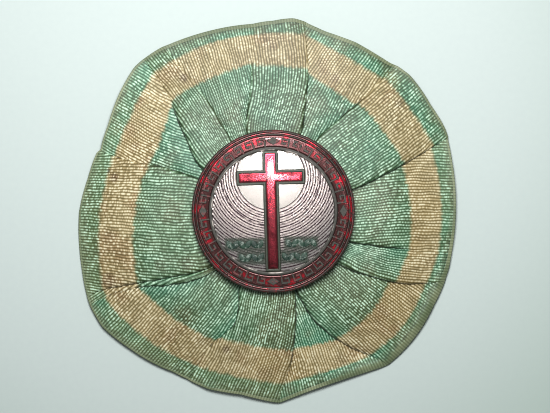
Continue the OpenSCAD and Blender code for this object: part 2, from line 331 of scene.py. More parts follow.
def ribbon_top(k, x, y, rim_angle, rim_radius):
    """Height of the ribbon's upper side on stretch k at x, y: the dome that falls from the badge
    to the rim, plus the rim's lift, the pleat's tilt and the growing stack of gathers."""
    r = np.hypot(x, y)
    a, b = edge_angle(k, r), edge_angle(k + 1, r)
    middle = (a + b) / 2
    angle = (np.degrees(np.arctan2(y, x)) - middle + 180) % 360 - 180 + middle
    w = np.clip((angle - a) / (b - a), -0.2, 1.2)
    u = r / np.interp(angle % 360, rim_angle, rim_radius, period=360)
    n = (k + 1) % len(PLEATS)
    inside = np.clip(w, 0, 1)
    start, end = PLEATS[k, 4] * step_at(k, r, u) / 2, -PLEATS[n, 4] * step_at(n, r, u) / 2
    pleat = mix(start, end, smooth(w)) + 0.2 * gather(u) * hump(inside)
    lift = mix(RIM[k, 3], RIM[n, 3], inside) + RIM[k, 4] * hump(inside)
    dome = RISE * (1 - smooth((u - 0.62) / 0.38)) + lift * smooth((u - 0.68) / 0.32)
    stack = mix(1, 1.6, gather(u))
    return dome + LIFT_OFF_FLOOR + pleat + mix(0.3, stack - 0.05, gather(u)), w, u


def dyed(k, at, w, share):
    """Marks of the ribbon on stretch k: which band of its stripes a point lies in (0 at the rim,
    1 and 2 at the stripe's edges), how faded it is, and the painted light and shade that brighten or darken
    it."""
    inside = np.clip(w, 0, 1)
    r = np.hypot(at[:, 0], at[:, 1])
    rim = r / share
    outer, inner = through(*STRIPE[k, :3], inside), through(*STRIPE[k, 3:], inside)
    band = np.where(r > outer, (rim - r) / (rim - outer), 1 + (outer - r) / (outer - inner))
    # Painted light and shade: the stretch's own level times the patches of painted sheen and shade.
    gloss = PAINTED_STRETCH_BRIGHTNESS[k] + 0 * r
    for x, y, radius, gain in PAINTED_SHEEN_AND_SHADE:
        gloss *= 1 + gain * np.exp(-((at[:, 0] - x) ** 2 + (at[:, 1] - y) ** 2) / radius ** 2)
    return band, through(*FADED[k, :3], inside) + FADED[k, 3] * (band < 0.95), gloss


def among_pleats(x, y, u):
    """Where a point lies round the rosette, counted in stretches from pleat edge 0, how wide its
    stretch is there, and how high the nearest pleat's step."""
    r, angle = np.hypot(x, y), np.degrees(np.arctan2(y, x))
    lap, span, step = np.zeros(r.shape), np.ones(r.shape), np.zeros(r.shape)
    for k in range(len(PLEATS)):
        a, b = edge_angle(k, r), edge_angle(k + 1, r)
        w = ((angle - a) % 360) / (b - a)
        n = (k + 1) % len(PLEATS)
        inside = w <= 1
        lap[inside] = (k + w)[inside]
        span[inside] = (np.radians(b - a) * r)[inside]
        step[inside] = np.where(w < 0.5, step_at(k, r, u), step_at(n, r, u))[inside]
    return lap, span, step


def panel(k, root, root_w):
    """Where each rib of stretch k lies if it is carried on past the stretch's edges: from its root
    on the rim it runs inwards along the table's direction, which eases from the rim's to the
    badge's, and under the badge it turns to the middle."""
    inside = np.clip(root_w, 0, 1)
    outer = mix(RIBS[k, 0], RIBS[k, 1], inside)
    inner = mix(RIBS[k, 2], RIBS[k, 3], inside)
    path = [root]
    for j in range(len(ROWS)):
        way = np.radians(mix(outer, inner, smooth((ROWS[j] - 4) / 13)))
        way = np.stack([np.cos(way), np.sin(way)], axis=-1)
        here = path[-1]
        r = np.hypot(here[:, 0], here[:, 1])[:, None]
        steer = smooth((18.5 - r) / 4)
        way = way * (1 - steer) + here / r * steer
        way /= np.linalg.norm(way, axis=1)[:, None]
        if j + 1 < len(ROWS):
            step = np.minimum(ROWS[j + 1] - ROWS[j], np.maximum(r - 2.4, 0))
            path.append(here - way * step)
    return np.array(path)


def crossing(k, points, root_u):
    """For each row, how far round the rim (and where) the ribs of a carried-on stretch meet pleat
    edge k: the first sign change of their angle past the edge."""
    r = np.hypot(points[..., 0], points[..., 1])
    edge = edge_angle(k, r)
    past = (np.degrees(np.arctan2(points[..., 1], points[..., 0])) - edge + 180) % 360 - 180
    rows = np.arange(len(points))
    hit = (past[:, :-1] < 0) & (past[:, 1:] >= 0) & (np.abs(past[:, 1:] - past[:, :-1]) < 30)
    after = hit.argmax(axis=1) + 1
    before = after - 1
    share = past[rows, before] / (past[rows, before] - past[rows, after])
    u = root_u[before] + share * (root_u[after] - root_u[before])
    where = points[rows, before] + share[:, None] * (points[rows, after] - points[rows, before])
    return u, where


def make_ribbon(material):
    """Ribbon as one closed thin wall over the grid of ribs and rows. Each rib lies on its stretch;
    between two stretches the cloth runs under the upper one, turns, and comes back, and all the
    cloth that the shorter inner rings have no room for lies in these hidden turns."""
    rim_angle, rim_radius = rim_line()
    turn = np.radians(np.r_[rim_angle, 360])
    radius = np.r_[rim_radius, rim_radius[0]]
    line = np.stack([radius * np.cos(turn), radius * np.sin(turn)], axis=1)
    along = np.r_[0, np.cumsum(np.linalg.norm(np.diff(line, axis=0), axis=1))]
    length = along[-1]
    ribs = int(round(length / RIB_PITCH))
    columns = ribs * COLUMNS_PER_RIB
    pitch = length / columns
    u_of_angle = lambda a: np.interp(a % 360, np.degrees(turn), along) + length * np.floor(a / 360)
    rows = len(ROWS)
    count = len(PLEATS)
    shape = (rows, columns)
    xy = np.zeros(shape + (2,))
    z = np.zeros(shape)
    band = np.zeros(shape)
    faded = np.zeros(shape)
    gloss = np.ones(shape)
    every = np.arange(columns) * pitch

    panels = []
    for k in range(count):
        a, b = edge_angle(k, 35.6), edge_angle(k + 1, 35.6)
        first = int(math.floor(u_of_angle(np.array(a - 24.0)) / pitch))
        last = int(math.ceil(u_of_angle(np.array(b + 24.0)) / pitch))
        root_u = np.arange(first, last + 1) * pitch
        angle = np.interp(root_u % length, along, np.degrees(turn))
        angle = (angle - (a + b) / 2 + 180) % 360 - 180 + (a + b) / 2
        root_w = (angle - a) / (b - a)
        root = np.stack([np.interp(root_u % length, along, line[:, i]) for i in (0, 1)], axis=1)
        panels.append((root_u, panel(k, root, root_w)))

    before_u, after_u, tight = (np.zeros((count, rows)) for _ in range(3))
    before_at, after_at = np.zeros((count, rows, 2)), np.zeros((count, rows, 2))
    for k in range(count):
        root_u, points = panels[(k - 1) % count]
        shift = length if k == 0 else 0
        before_u[k], before_at[k] = crossing(k, points, root_u - shift)
        after_u[k], after_at[k] = crossing(k, panels[k][1], panels[k][0])
        tight[k] = np.maximum(before_u[k] - after_u[k], 0)
        short = after_u[k] - before_u[k] < 0.02
        centre = (after_u[k] + before_u[k]) / 2
        before_u[k] = np.where(short, centre - 0.01, before_u[k])
        after_u[k] = np.where(short, centre + 0.01, after_u[k])

    def unwrap(u, near):
        return (u - near + length / 2) % length - length / 2 + near

    def look(root_u, values, row, u):
        return np.stack([np.interp(u, root_u, values[row, :, i]) for i in (0, 1)], axis=-1)

    for j in range(rows):
        for k in range(count):
            n = (k + 1) % count
            end = before_u[n, j] + (length if n == 0 else 0)
            start = after_u[k, j]
            u = unwrap(every, (start + end) / 2)
            here = (u >= start) & (u <= end)
            root_u, points = panels[k]
            # Where there is too little cloth for a turn, the ribs on both sides of it spread.
            late = smooth(1 - (end - u[here]) / (2.5 * tight[n, j] + 1))
            early = smooth(1 - (u[here] - start) / (2.5 * tight[k, j] + 1))
            at = look(root_u, points, j, u[here] + (tight[n, j] * late - tight[k, j] * early) / 2)
            xy[j, here] = at
            top, w, share = ribbon_top(k, at[:, 0], at[:, 1], rim_angle, rim_radius)
            z[j, here] = top
            band[j, here], faded[j, here], gloss[j, here] = dyed(k, at, w, share)
        for k in range(count):
            side = PLEATS[k, 4]
            start, end = before_u[k, j], after_u[k, j]
            hidden = end - start
            u = unwrap(every, (start + end) / 2)
            upper = k if side > 0 else (k - 1) % count
            # The turned cloth lies along the upper stretch, as deep as its length allows.
            depth = hidden / 2
            other = (k + 1) if side > 0 else (k - 1)
            r_here = np.hypot(*after_at[k, j])
            room = abs(edge_angle(k, r_here) - edge_angle(other, r_here)) / 180 * math.pi * r_here
            shared = PLEATS[other % count, 4] != side
            fit = min(1.0, room * (0.46 if shared else 0.9) / max(depth, 1e-6))
            inside = (u > start) & (u < end)
            p = (u[inside] - start) / hidden
            ridge = after_at[k, j] * p[:, None] + before_at[k, j] * (1 - p[:, None])
            spoke = ridge / np.linalg.norm(ridge, axis=1)[:, None]
            round_way = np.stack([-spoke[:, 1], spoke[:, 0]], axis=1) * side
            s = depth * fit * (1 - np.abs(2 * p - 1))
            at = ridge + round_way * s[:, None]
            xy[j, inside] = at
            top, w, share = ribbon_top(upper, at[:, 0], at[:, 1], rim_angle, rim_radius)
            z[j, inside] = top - SAG * smooth(s / 0.6) * smooth((1 - share) / 0.1)
            band[j, inside], faded[j, inside], gloss[j, inside] = dyed(upper, at, w, share)
            # Layers: the crease itself is the upper turn, and the far turn is the lower one.
            reach = max(min(2 * BEND, hidden), 1e-3)
            far = (start + end) / 2
            if side > 0:
                stage = 0.5 * smooth((u - far) / reach + 0.5) + 0.5 * smooth((u - end) / reach + 0.5)
                touched = (u > start) & (u < end + reach)
            else:
                stage = 0.5 * smooth((far - u) / reach + 0.5) + 0.5 * smooth((start - u) / reach + 0.5)
                touched = (u > start - reach) & (u < end)
            r = np.hypot(xy[j, touched, 0], xy[j, touched, 1])
            share = rim_share(xy[j, touched], rim_angle, rim_radius)
            z[j, touched] -= step_at(k, r, share) * (1 - stage[touched])

    # The ribs waver a little, all the more away from the rim.
    u_wave, v_wave = every[None] / length * 2 * math.pi, ROWS[:, None]
    waver = (np.sin(41 * u_wave + 0.9 * v_wave) + np.sin(67 * u_wave - 1.3 * v_wave + 2)
             + np.sin(23 * u_wave + 1.7 * v_wave + 4)) / 3
    away = xy / np.linalg.norm(xy, axis=2)[..., None]
    sway = 0.13 * waver * smooth(v_wave / 3)
    xy += np.stack([-away[..., 1], away[..., 0]], axis=2) * sway[..., None]

    rib_angle = np.interp(every, along, np.degrees(turn))
    selvage = np.interp(rib_angle, SELVAGE[:, 0], SELVAGE[:, 1])
    soil_from, soil_to = (np.interp(rib_angle, SOIL[:, 0], SOIL[:, i]) + np.zeros(shape) for i in (1, 2))
    v = ROWS[:, None] + np.zeros(shape)
    ribbed = smooth((v - selvage + 0.1) / 0.25)
    phase = np.cos(2 * math.pi * np.arange(columns) / COLUMNS_PER_RIB)
    z += RIB_H * phase * ribbed
    curl = smooth((selvage - 0.6) / 0.4)
    z += 0.25 * curl * (hump(np.clip(v / 2, 0, 1)) - 0.8 * smooth(1 - v / 0.9))

    top = np.dstack([xy + [GATHER_X, GATHER_Y], z])
    across = np.roll(top, -1, axis=1) - np.roll(top, 1, axis=1)
    down = np.gradient(top, axis=0)
    normal = np.cross(down, across)
    normal = normal + 0.5 * (np.roll(normal, 1, axis=1) + np.roll(normal, -1, axis=1))
    normal /= np.maximum(np.linalg.norm(normal, axis=2), 1e-9)[..., None]
    low = top - normal * RIBBON_T
    low[..., 2] = np.maximum(low[..., 2], 0.02)
    points = np.concatenate([top.reshape(-1, 3), low.reshape(-1, 3)])
    half = rows * columns
    upper = quads(rows, columns, wrap=True)
    lower = quads(rows, columns, wrap=True, start=half, turned=True)
    i, n = ring_of(columns)
    rim_wall = np.stack([i + half, n + half, n, i], axis=1)
    last = half - columns
    hole_wall = np.stack([i + last, n + last, n + last + half, i + last + half], axis=1)
    across_uv = np.stack([i, i + 1, i + 1, i], axis=1) / COLUMNS_PER_RIB
    face_rows = np.arange(rows - 1)
    u_grid = np.broadcast_to(across_uv[None], (rows - 1, columns, 4)).reshape(-1, 4)
    v_grid = np.stack([ROWS[face_rows], ROWS[face_rows], ROWS[face_rows + 1], ROWS[face_rows + 1]], axis=1)
    v_grid = np.repeat(v_grid, columns, axis=0)
    grid_uv = np.stack([u_grid, v_grid], axis=2)
    edge_uv = lambda v: np.stack([across_uv, np.full_like(across_uv, v)], axis=2)
    uv = np.concatenate([grid_uv.reshape(-1, 2), grid_uv[:, ::-1].reshape(-1, 2),
                         edge_uv(0.0).reshape(-1, 2), edge_uv(RIBBON_W).reshape(-1, 2)])
    share = rim_share(xy, rim_angle, rim_radius)
    lap, span, step = among_pleats(xy[..., 0], xy[..., 1], share)
    marks = dict(band=band, faded=faded, gloss=gloss, selvage=selvage + np.zeros(shape),
                 soil_from=soil_from, soil_to=soil_to, lap=lap, span=span, step=step)
    marks = {mark: np.tile(values.ravel(), 2) for mark, values in marks.items()}
    ribbon = put_mesh("ribbon", points, [upper, lower, rim_wall, hole_wall], material, uv, marks)
    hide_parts("rosette")
    return ribbon


# Badge


def turned(profile, columns):
    """Profile of (radius, height) rows turned round the badge's middle. A row of radius 0 at
    either end becomes one point, and a profile that keeps clear of the middle is closed."""
    profile = np.asarray(profile, float)
    poles = profile[0, 0] == 0
    rings = profile[1:-1] if poles else profile
    a = np.arange(columns) / columns * 2 * math.pi
    points = np.stack([rings[:, :1] * np.cos(a), rings[:, :1] * np.sin(a),
                       rings[:, 1:] + 0 * a], axis=2).reshape(-1, 3)
    faces = [quads(len(rings), columns, wrap=True)]
    last = len(points) - columns
    i, n = ring_of(columns)
    if poles:
        points = np.concatenate([points, [[0, 0, profile[0, 1]], [0, 0, profile[-1, 1]]]])
        faces += [fan(n, i, len(points) - 2), fan(i + last, n + last, len(points) - 1)]
    else:
        faces += [np.stack([last + i, last + n, n, i], axis=1)]
    return points + AT_BADGE, faces


def eased(corners, cut, steps=4):
    """Profile whose corners are rounded: each is swapped for a parabola that starts and ends cut
    away from it, or a third of the way along a shorter side. Both ends stay as they are."""
    corners = np.asarray(corners, float)
    here, before, after = corners[1:-1], corners[:-2] - corners[1:-1], corners[2:] - corners[1:-1]
    long_before = np.linalg.norm(before, axis=1)[:, None]
    long_after = np.linalg.norm(after, axis=1)[:, None]
    start = here + before / long_before * np.minimum(cut, long_before / 3)
    end = here + after / long_after * np.minimum(cut, long_after / 3)
    t = (np.arange(steps + 1) / steps)[None, :, None]
    arcs = start[:, None] * (1 - t) ** 2 + 2 * here[:, None] * t * (1 - t) + end[:, None] * t ** 2
    return np.concatenate([corners[:1], arcs.reshape(-1, 2), corners[-1:]])


def stacked(outlines, heights):
    """Closed blocks from outlines at rising heights: outlines is blocks x levels x corners x 2.
    The sides join one level to the next, and the lowest and highest outlines are the ends."""
    blocks, levels, corners = outlines.shape[:3]
    z = np.broadcast_to(np.asarray(heights, float)[None, :, None, None], outlines.shape[:3] + (1,))
    points = np.concatenate([outlines, z], axis=3).reshape(-1, 3)
    sides = quads(levels, corners, wrap=True)
    every = np.arange(blocks)[:, None, None] * levels * corners
    sides = (sides[None] + every).reshape(-1, 4)
    i = np.arange(corners)[None] + np.arange(blocks)[:, None] * levels * corners
    return points + AT_BADGE, [sides, i[:, ::-1], i + (levels - 1) * corners]


def make_struck_plate(material):
    """Badge's body turned in one: flat back, rounded rim, and on the sunk floor the wire ring
    and the inner ring, each with eased corners."""
    top = FLOOR_Z + RIM_T
    wire, inner = FLOOR_Z + LINE_T, FLOOR_Z + LINE_T + 0.1
    profile = eased([
        [0, BADGE_Z], [BADGE_R - 0.3, BADGE_Z], [BADGE_R, BADGE_Z + 0.3], [BADGE_R, top - 0.25],
        [BADGE_R - 0.22, top], [RIM_IN_R + 0.08, top], [RIM_IN_R, top - 0.15], [RIM_IN_R, FLOOR_Z],
        [EDGE_IN_R, FLOOR_Z], [EDGE_IN_R, wire], [WIRE_IN_R, wire], [WIRE_IN_R, FLOOR_Z],
        [BAND_IN_R, FLOOR_Z], [BAND_IN_R, inner - 0.05], [BAND_IN_R - 0.12, inner],
        [FIELD_R + 0.12, inner], [FIELD_R, inner - 0.1], [FIELD_R, FLOOR_Z], [0, FLOOR_Z],
    ], 0.14)
    points, faces = turned(profile, 288)
    plate = put_mesh("struck_plate", points, faces, material)
    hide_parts("badge_plate")


FRET_PLACES, FRET_CELLS, FRET_LEVELS = 36, 7, 5.4
FRET_TURN = 360 / FRET_PLACES

# The fret's outline: place in cells round the ring and out from it, then which way the corner
# moves round and out as the fret grows.
FRET = np.array([
    [0, -0.4, -1, 0], [0, 4.4, -1, 1], [2.5, 4.4, 0, 1], [5, 4.4, 1, 1], [5, 1.4, 1, -1],
    [2, 1.4, -1, -1], [2, 2.4, -1, 1], [4, 2.4, -1, 1], [4, 3.4, -1, -1], [1, 3.4, 1, -1],
    [1, -0.4, 1, 0],
])[::-1]
LOZENGE_L, LOZENGE_W = 2.5, 1.44
# How far struck lines stand past their outline, from the foot up, and at which heights.
STRUCK_GROW = np.array([0.03, 0.03, 0.0, -0.05])
STRUCK_Z = FLOOR_Z + np.array([-0.1, LINE_T - 0.16, LINE_T - 0.04, LINE_T])


def make_frets(material):
    """Hooked frets that stand in the border: the table's corners, grown a little at the foot and
    drawn in at the top, turned to all places but the four quarters, where the lozenges are."""
    places = np.array([i for i in range(FRET_PLACES) if i % (FRET_PLACES // 4)])
    turn = (places - 0.5) * FRET_TURN + FRET_TURN / FRET_CELLS
    grow = STRUCK_GROW[None, :, None]
    angle = np.radians(turn[:, None, None] + FRET[:, 0] / FRET_CELLS * FRET_TURN)
    angle = angle + FRET[:, 2] * grow / BAND_MID_R
    r = BAND_IN_R + FRET[:, 1] * (WIRE_IN_R - BAND_IN_R) / FRET_LEVELS + FRET[:, 3] * grow + 0 * angle
    outlines = np.stack([r * np.cos(angle), r * np.sin(angle)], axis=3)
    points, faces = stacked(outlines, STRUCK_Z)
    put_mesh("fret_border", points, faces, material, flat=True)


def make_lozenges(material):
    """Four lozenges at the quarters of the border: half diagonals that shrink towards the top."""
    grow = STRUCK_GROW[None, :, None]
    side = math.hypot(LOZENGE_L, LOZENGE_W)
    long, wide = LOZENGE_L / 2 + grow * side / LOZENGE_W, LOZENGE_W / 2 + grow * side / LOZENGE_L
    turn = np.radians(np.arange(4) * 90)[:, None, None]
    out = BAND_MID_R + wide * np.array([1, 0, -1, 0])
    along = long * np.array([0, 1, 0, -1])
    outlines = np.stack([out * np.cos(turn) - along * np.sin(turn),
                         out * np.sin(turn) + along * np.cos(turn)], axis=3)
    points, faces = stacked(outlines, STRUCK_Z)
    put_mesh("lozenges", points, faces, material, flat=True)


CROSS_H, CROSS_SPAN, ARM_W, CROSSING_Y = 22.6, 12.8, 2.9, 6.6
CROSS_X, CROSS_TURN = -0.3, 1.7
# How far in from the cross's edge its metal line and its enamel reach, and the line's shoulder.
LINE_IN, RED_IN, SHOULDER_T = 0.55, 0.53, 0.55
ARM_DROP, ARM_SLIM = 0.27, 0.08
CROSSING = np.array([CROSS_X - CROSSING_Y * math.sin(math.radians(CROSS_TURN)),
                     CROSSING_Y * math.cos(math.radians(CROSS_TURN))])


def on_cross(x, y):
    """From the cross's own axes to the badge's."""
    c, s = math.cos(math.radians(CROSS_TURN)), math.sin(math.radians(CROSS_TURN))
    return np.stack([CROSS_X + x * c - y * s, x * s + y * c], axis=-1)


def cross_line(margin):
    """Twelve corners of the cross, each grown by the margins given: levels x 12 x 2."""
    m = np.asarray(margin, float)[:, None]
    arm, span, half = ARM_W / 2, CROSS_SPAN / 2, CROSS_H / 2
    low, high = CROSSING_Y - ARM_DROP - arm + ARM_SLIM, CROSSING_Y - ARM_DROP + arm - ARM_SLIM
    x = np.array([-arm, arm, arm, span, span, arm, arm, -arm, -arm, -span, -span, -arm])
    y = np.array([-half, -half, low, low, high, high, half, half, high, high, low, low])
    away_y = np.array([-1, -1, -1, -1, 1, 1, 1, 1, 1, 1, -1, -1])
    return on_cross(x + np.sign(x) * m, y + away_y * m)


def make_cross_outline(material):
    """Raised metal line round the cross: a low round-topped profile carried along its outline."""
    top = LINE_T + 0.05
    profile = np.array([[0.02, -0.1], [0.02, SHOULDER_T], [-0.05, 0.66], [-0.16, top],
                        [-0.38, top], [-0.48, 0.66], [-LINE_IN, SHOULDER_T], [-LINE_IN, -0.1]])
    line = cross_line(profile[:, 0])
    z = np.broadcast_to(FLOOR_Z + profile[:, 1][:, None, None], line.shape[:2] + (1,))
    points = np.concatenate([line, z], axis=2).reshape(-1, 3) + AT_BADGE
    corners = line.shape[1]
    i, n = ring_of(corners)
    last = (len(profile) - 1) * corners
    faces = [quads(len(profile), corners, wrap=True), np.stack([last + i, last + n, n, i], axis=1)]
    put_mesh("cross_outline", points, faces, material, flat=True)


def make_cross_enamel(material):
    """Red enamel of the cross: the outline drawn in step by step while the height rises to a
    gentle crown."""
    inset = np.array([0.0, 0.0, 0.03, 0.08, 0.15, 0.25, 0.4, 0.66])
    crown = 0.53 + 0.02 * smooth(inset / 0.25)
    heights = FLOOR_Z + np.r_[-0.05, crown[1:]]
    outlines = cross_line(-RED_IN - inset)[None]
    points, faces = stacked(outlines, heights)
    piece = put_mesh("cross_in_red", points, faces, material)
    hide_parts("cross_enamel")


def enamel_ring(near_r, far_r, lift, bulge, rings, columns):
    """Ring of enamel between two round walls. Its top lies lift over the enamel's common height at
    the walls, and a parabola raises it by bulge between them."""
    r = np.linspace(near_r, far_r, rings)
    z = FLOOR_Z + ENAMEL_T + lift + bulge * hump((r - near_r) / (far_r - near_r))
    return turned([[near_r, FLOOR_Z - 0.05], [far_r, FLOOR_Z - 0.05], *zip(r[::-1], z[::-1])], columns)


def make_border_enamel(material):
    """Red enamel round the border, with a slight hollow between the metal lines."""
    points, faces = enamel_ring(BAND_IN_R, WIRE_IN_R, 0.01, -0.02, 9, 180)
    piece = put_mesh("border_in_red", points, faces, material)
    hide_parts("border_enamel")


def make_edge_enamel(material):
    """Thin red line inside the rim, which bulges a little between its walls."""
    points, faces = enamel_ring(EDGE_IN_R, RIM_IN_R, 0.1, 0.04, 5, 240)
    piece = put_mesh("edge_line_in_red", points, faces, material)
    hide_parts("edge_enamel")


HALO_R = 6.4
ENGRAVING = 0.47


def make_field(material):
    """Silvery field: rings round the crossing that reach out to the inner ring. A smooth low disc
    lies behind the cross, and past it flat lands alternate with narrow grooves, one of each for
    every engraving pitch. Rings that pass the field's edge stop at it."""
    columns = 288
    pitches = HALO_R + 0.25 + np.arange(25)[:, None] * ENGRAVING
    rings = np.r_[np.linspace(0.4, 6.0, 8), 6.3, 6.36, 6.42, 6.48, 6.54, (pitches + [0, 0.29, 0.38]).ravel()]
    sunk = np.r_[np.full(10, 0.1), 0.02, -0.03, 0.0, np.tile([0.04, 0.04, -0.02], 25)]
    a = np.arange(columns) / columns * 2 * math.pi
    way = np.stack([np.cos(a), np.sin(a)], axis=1)
    toward = way @ CROSSING
    edge = -toward + np.sqrt(toward ** 2 + (FIELD_R + 0.02) ** 2 - CROSSING @ CROSSING)
    r = np.minimum(rings[:, None], edge[None, :])
    level = FLOOR_Z + FIELD_T + np.broadcast_to(sunk[:, None], r.shape)
    z = np.where(rings[:, None] > edge, FLOOR_Z + FIELD_T, level)
    rim = np.stack([r * way[:, 0], r * way[:, 1], z], axis=2)
    foot = rim[-1:] * [1, 1, 0] + [0, 0, FLOOR_Z - 0.04]
    middle = [[0, 0, FLOOR_Z + FIELD_T + 0.1], [0, 0, FLOOR_Z - 0.04]]
    points = np.concatenate([rim.reshape(-1, 3), foot.reshape(-1, 3), middle])
    points += [CROSSING[0] + GATHER_X, CROSSING[1] + GATHER_Y, 0]
    rows = len(rings) + 1
    i, n = ring_of(columns)
    last = (rows - 1) * columns
    faces = [quads(rows, columns, wrap=True, turned=True), fan(i, n, len(points) - 2),
             fan(n + last, i + last, len(points) - 1)]
    put_mesh("engraved_field", points, faces, material, flat=True, merge=0.0005)


SPRIGS = np.array([[-1, 2.3, -6.1, 6], [-1, 2.3, -8.6, 4], [1, 3.0, -6.1, 5], [1, 2.3, -8.6, 4]])
LEAF_L, LEAF_W, LEAF_TILT, LEAF_PITCH = 1.85, 0.9, 32, 1.15


def make_leaves(material):
    """Dark green leaves: each is a lens with two round sides, domed from its edge to its midrib.
    Half width at a share s of the length is that of a circle's arc through both points."""
    side_r = ((LEAF_L / 2) ** 2 + (LEAF_W / 2) ** 2) / LEAF_W
    s = (1 - np.cos(np.arange(1, 12) / 12 * math.pi)) / 2
    x = (s - 0.5) * LEAF_L
    half = 1.25 * (np.sqrt(side_r ** 2 - x ** 2) - side_r + LEAF_W / 2)
    t = np.array([-1, -1, -0.85, -0.5, 0, 0.5, 0.85, 1, 1])
    up = np.array([-0.25, 0.0, 0.06, 0.1, 0.085, 0.1, 0.06, 0.0, -0.25])
    sharp = half / (LEAF_W / 2)
    grid = np.stack([x[:, None] + 0 * t, half[:, None] * t,
                     FLOOR_Z + FIELD_T + 0.02 + np.where(up < 0, up, up * sharp[:, None])], axis=2)
    tips = np.array([[-LEAF_L / 2, 0, FLOOR_Z + FIELD_T], [LEAF_L / 2, 0, FLOOR_Z + FIELD_T]])
    leaf = np.concatenate([grid.reshape(-1, 3), tips])
    rows, columns = len(x), len(t)
    i, n = ring_of(columns)
    last = (rows - 1) * columns
    tip = i * 0 + rows * columns
    strip = quads(rows, columns, wrap=True, turned=True)
    fans = np.concatenate([np.stack([tip, i, n], axis=1),
                           np.stack([tip + 1, n + last, i + last], axis=1)])
    count = SPRIGS[:, 3].astype(int)
    row = np.repeat(np.arange(len(SPRIGS)), count)
    number = np.concatenate([np.arange(c) for c in count])
    side = SPRIGS[row, 0]
    turn = np.radians(side * np.where(number % 2 == 0, LEAF_TILT, -LEAF_TILT) + 90)
    at = np.stack([side * (SPRIGS[row, 1] + number * LEAF_PITCH), SPRIGS[row, 2]], axis=1)
    c, s = np.cos(turn)[:, None], np.sin(turn)[:, None]
    lx = leaf[:, 0] * c - leaf[:, 1] * s + at[:, :1]
    ly = leaf[:, 0] * s + leaf[:, 1] * c + at[:, 1:]
    flat = on_cross(lx, ly)
    points = np.concatenate([flat, np.broadcast_to(leaf[None, :, 2:], flat.shape[:2] + (1,))], axis=2)
    start = np.arange(len(row))[:, None, None] * len(leaf)
    points = points.reshape(-1, 3) + AT_BADGE
    piece = put_mesh("green_leaves", points, [(strip[None] + start).reshape(-1, 4),
                                              (fans[None] + start).reshape(-1, 3)], material)
    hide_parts("leaf_enamel")


WIRE_R, WIRE_Z, NEEDLE_L, POINT_L, BEND_R, TIP_R = 0.45, 0.95, 17, 3, 1.2, 0.08


def make_pin(material):
    """Stick pin under the badge: a round section carried down from the plate, round a quarter
    bend and along to its point, with a fillet of solder at the top."""
    quarter = np.radians(np.arange(0, 91, 10))
    way = np.concatenate([
        [[0, BADGE_Z + up] for up in (0.05, -0.05, -0.2, -0.4, -0.8)],
        np.stack([-BEND_R + BEND_R * np.cos(quarter), WIRE_Z + BEND_R - BEND_R * np.sin(quarter)], axis=1),
        [[-BEND_R - NEEDLE_L, WIRE_Z], [-BEND_R - NEEDLE_L - POINT_L / 2, WIRE_Z],
         [-BEND_R - NEEDLE_L - POINT_L, WIRE_Z]],
    ])
    r = np.r_[1.5, 1.5, 1.0, 0.6, WIRE_R, np.full(10, WIRE_R), WIRE_R, 0.3, TIP_R]
    run = np.gradient(way, axis=0)
    run /= np.linalg.norm(run, axis=1)[:, None]
    a = np.arange(20) / 20 * 2 * math.pi
    x = r[:, None] * np.cos(a)
    y = way[:, :1] - run[:, 1:] * r[:, None] * np.sin(a)
    z = way[:, 1:] + run[:, :1] * r[:, None] * np.sin(a)
    points = np.stack([x, y, z], axis=2).reshape(-1, 3) + AT_BADGE
    i = np.arange(20)
    faces = [quads(len(way), 20, wrap=True, turned=True), i[None], (i + (len(way) - 1) * 20)[None, ::-1]]
    put_mesh("stick_pin", points, faces, material)


# Materials


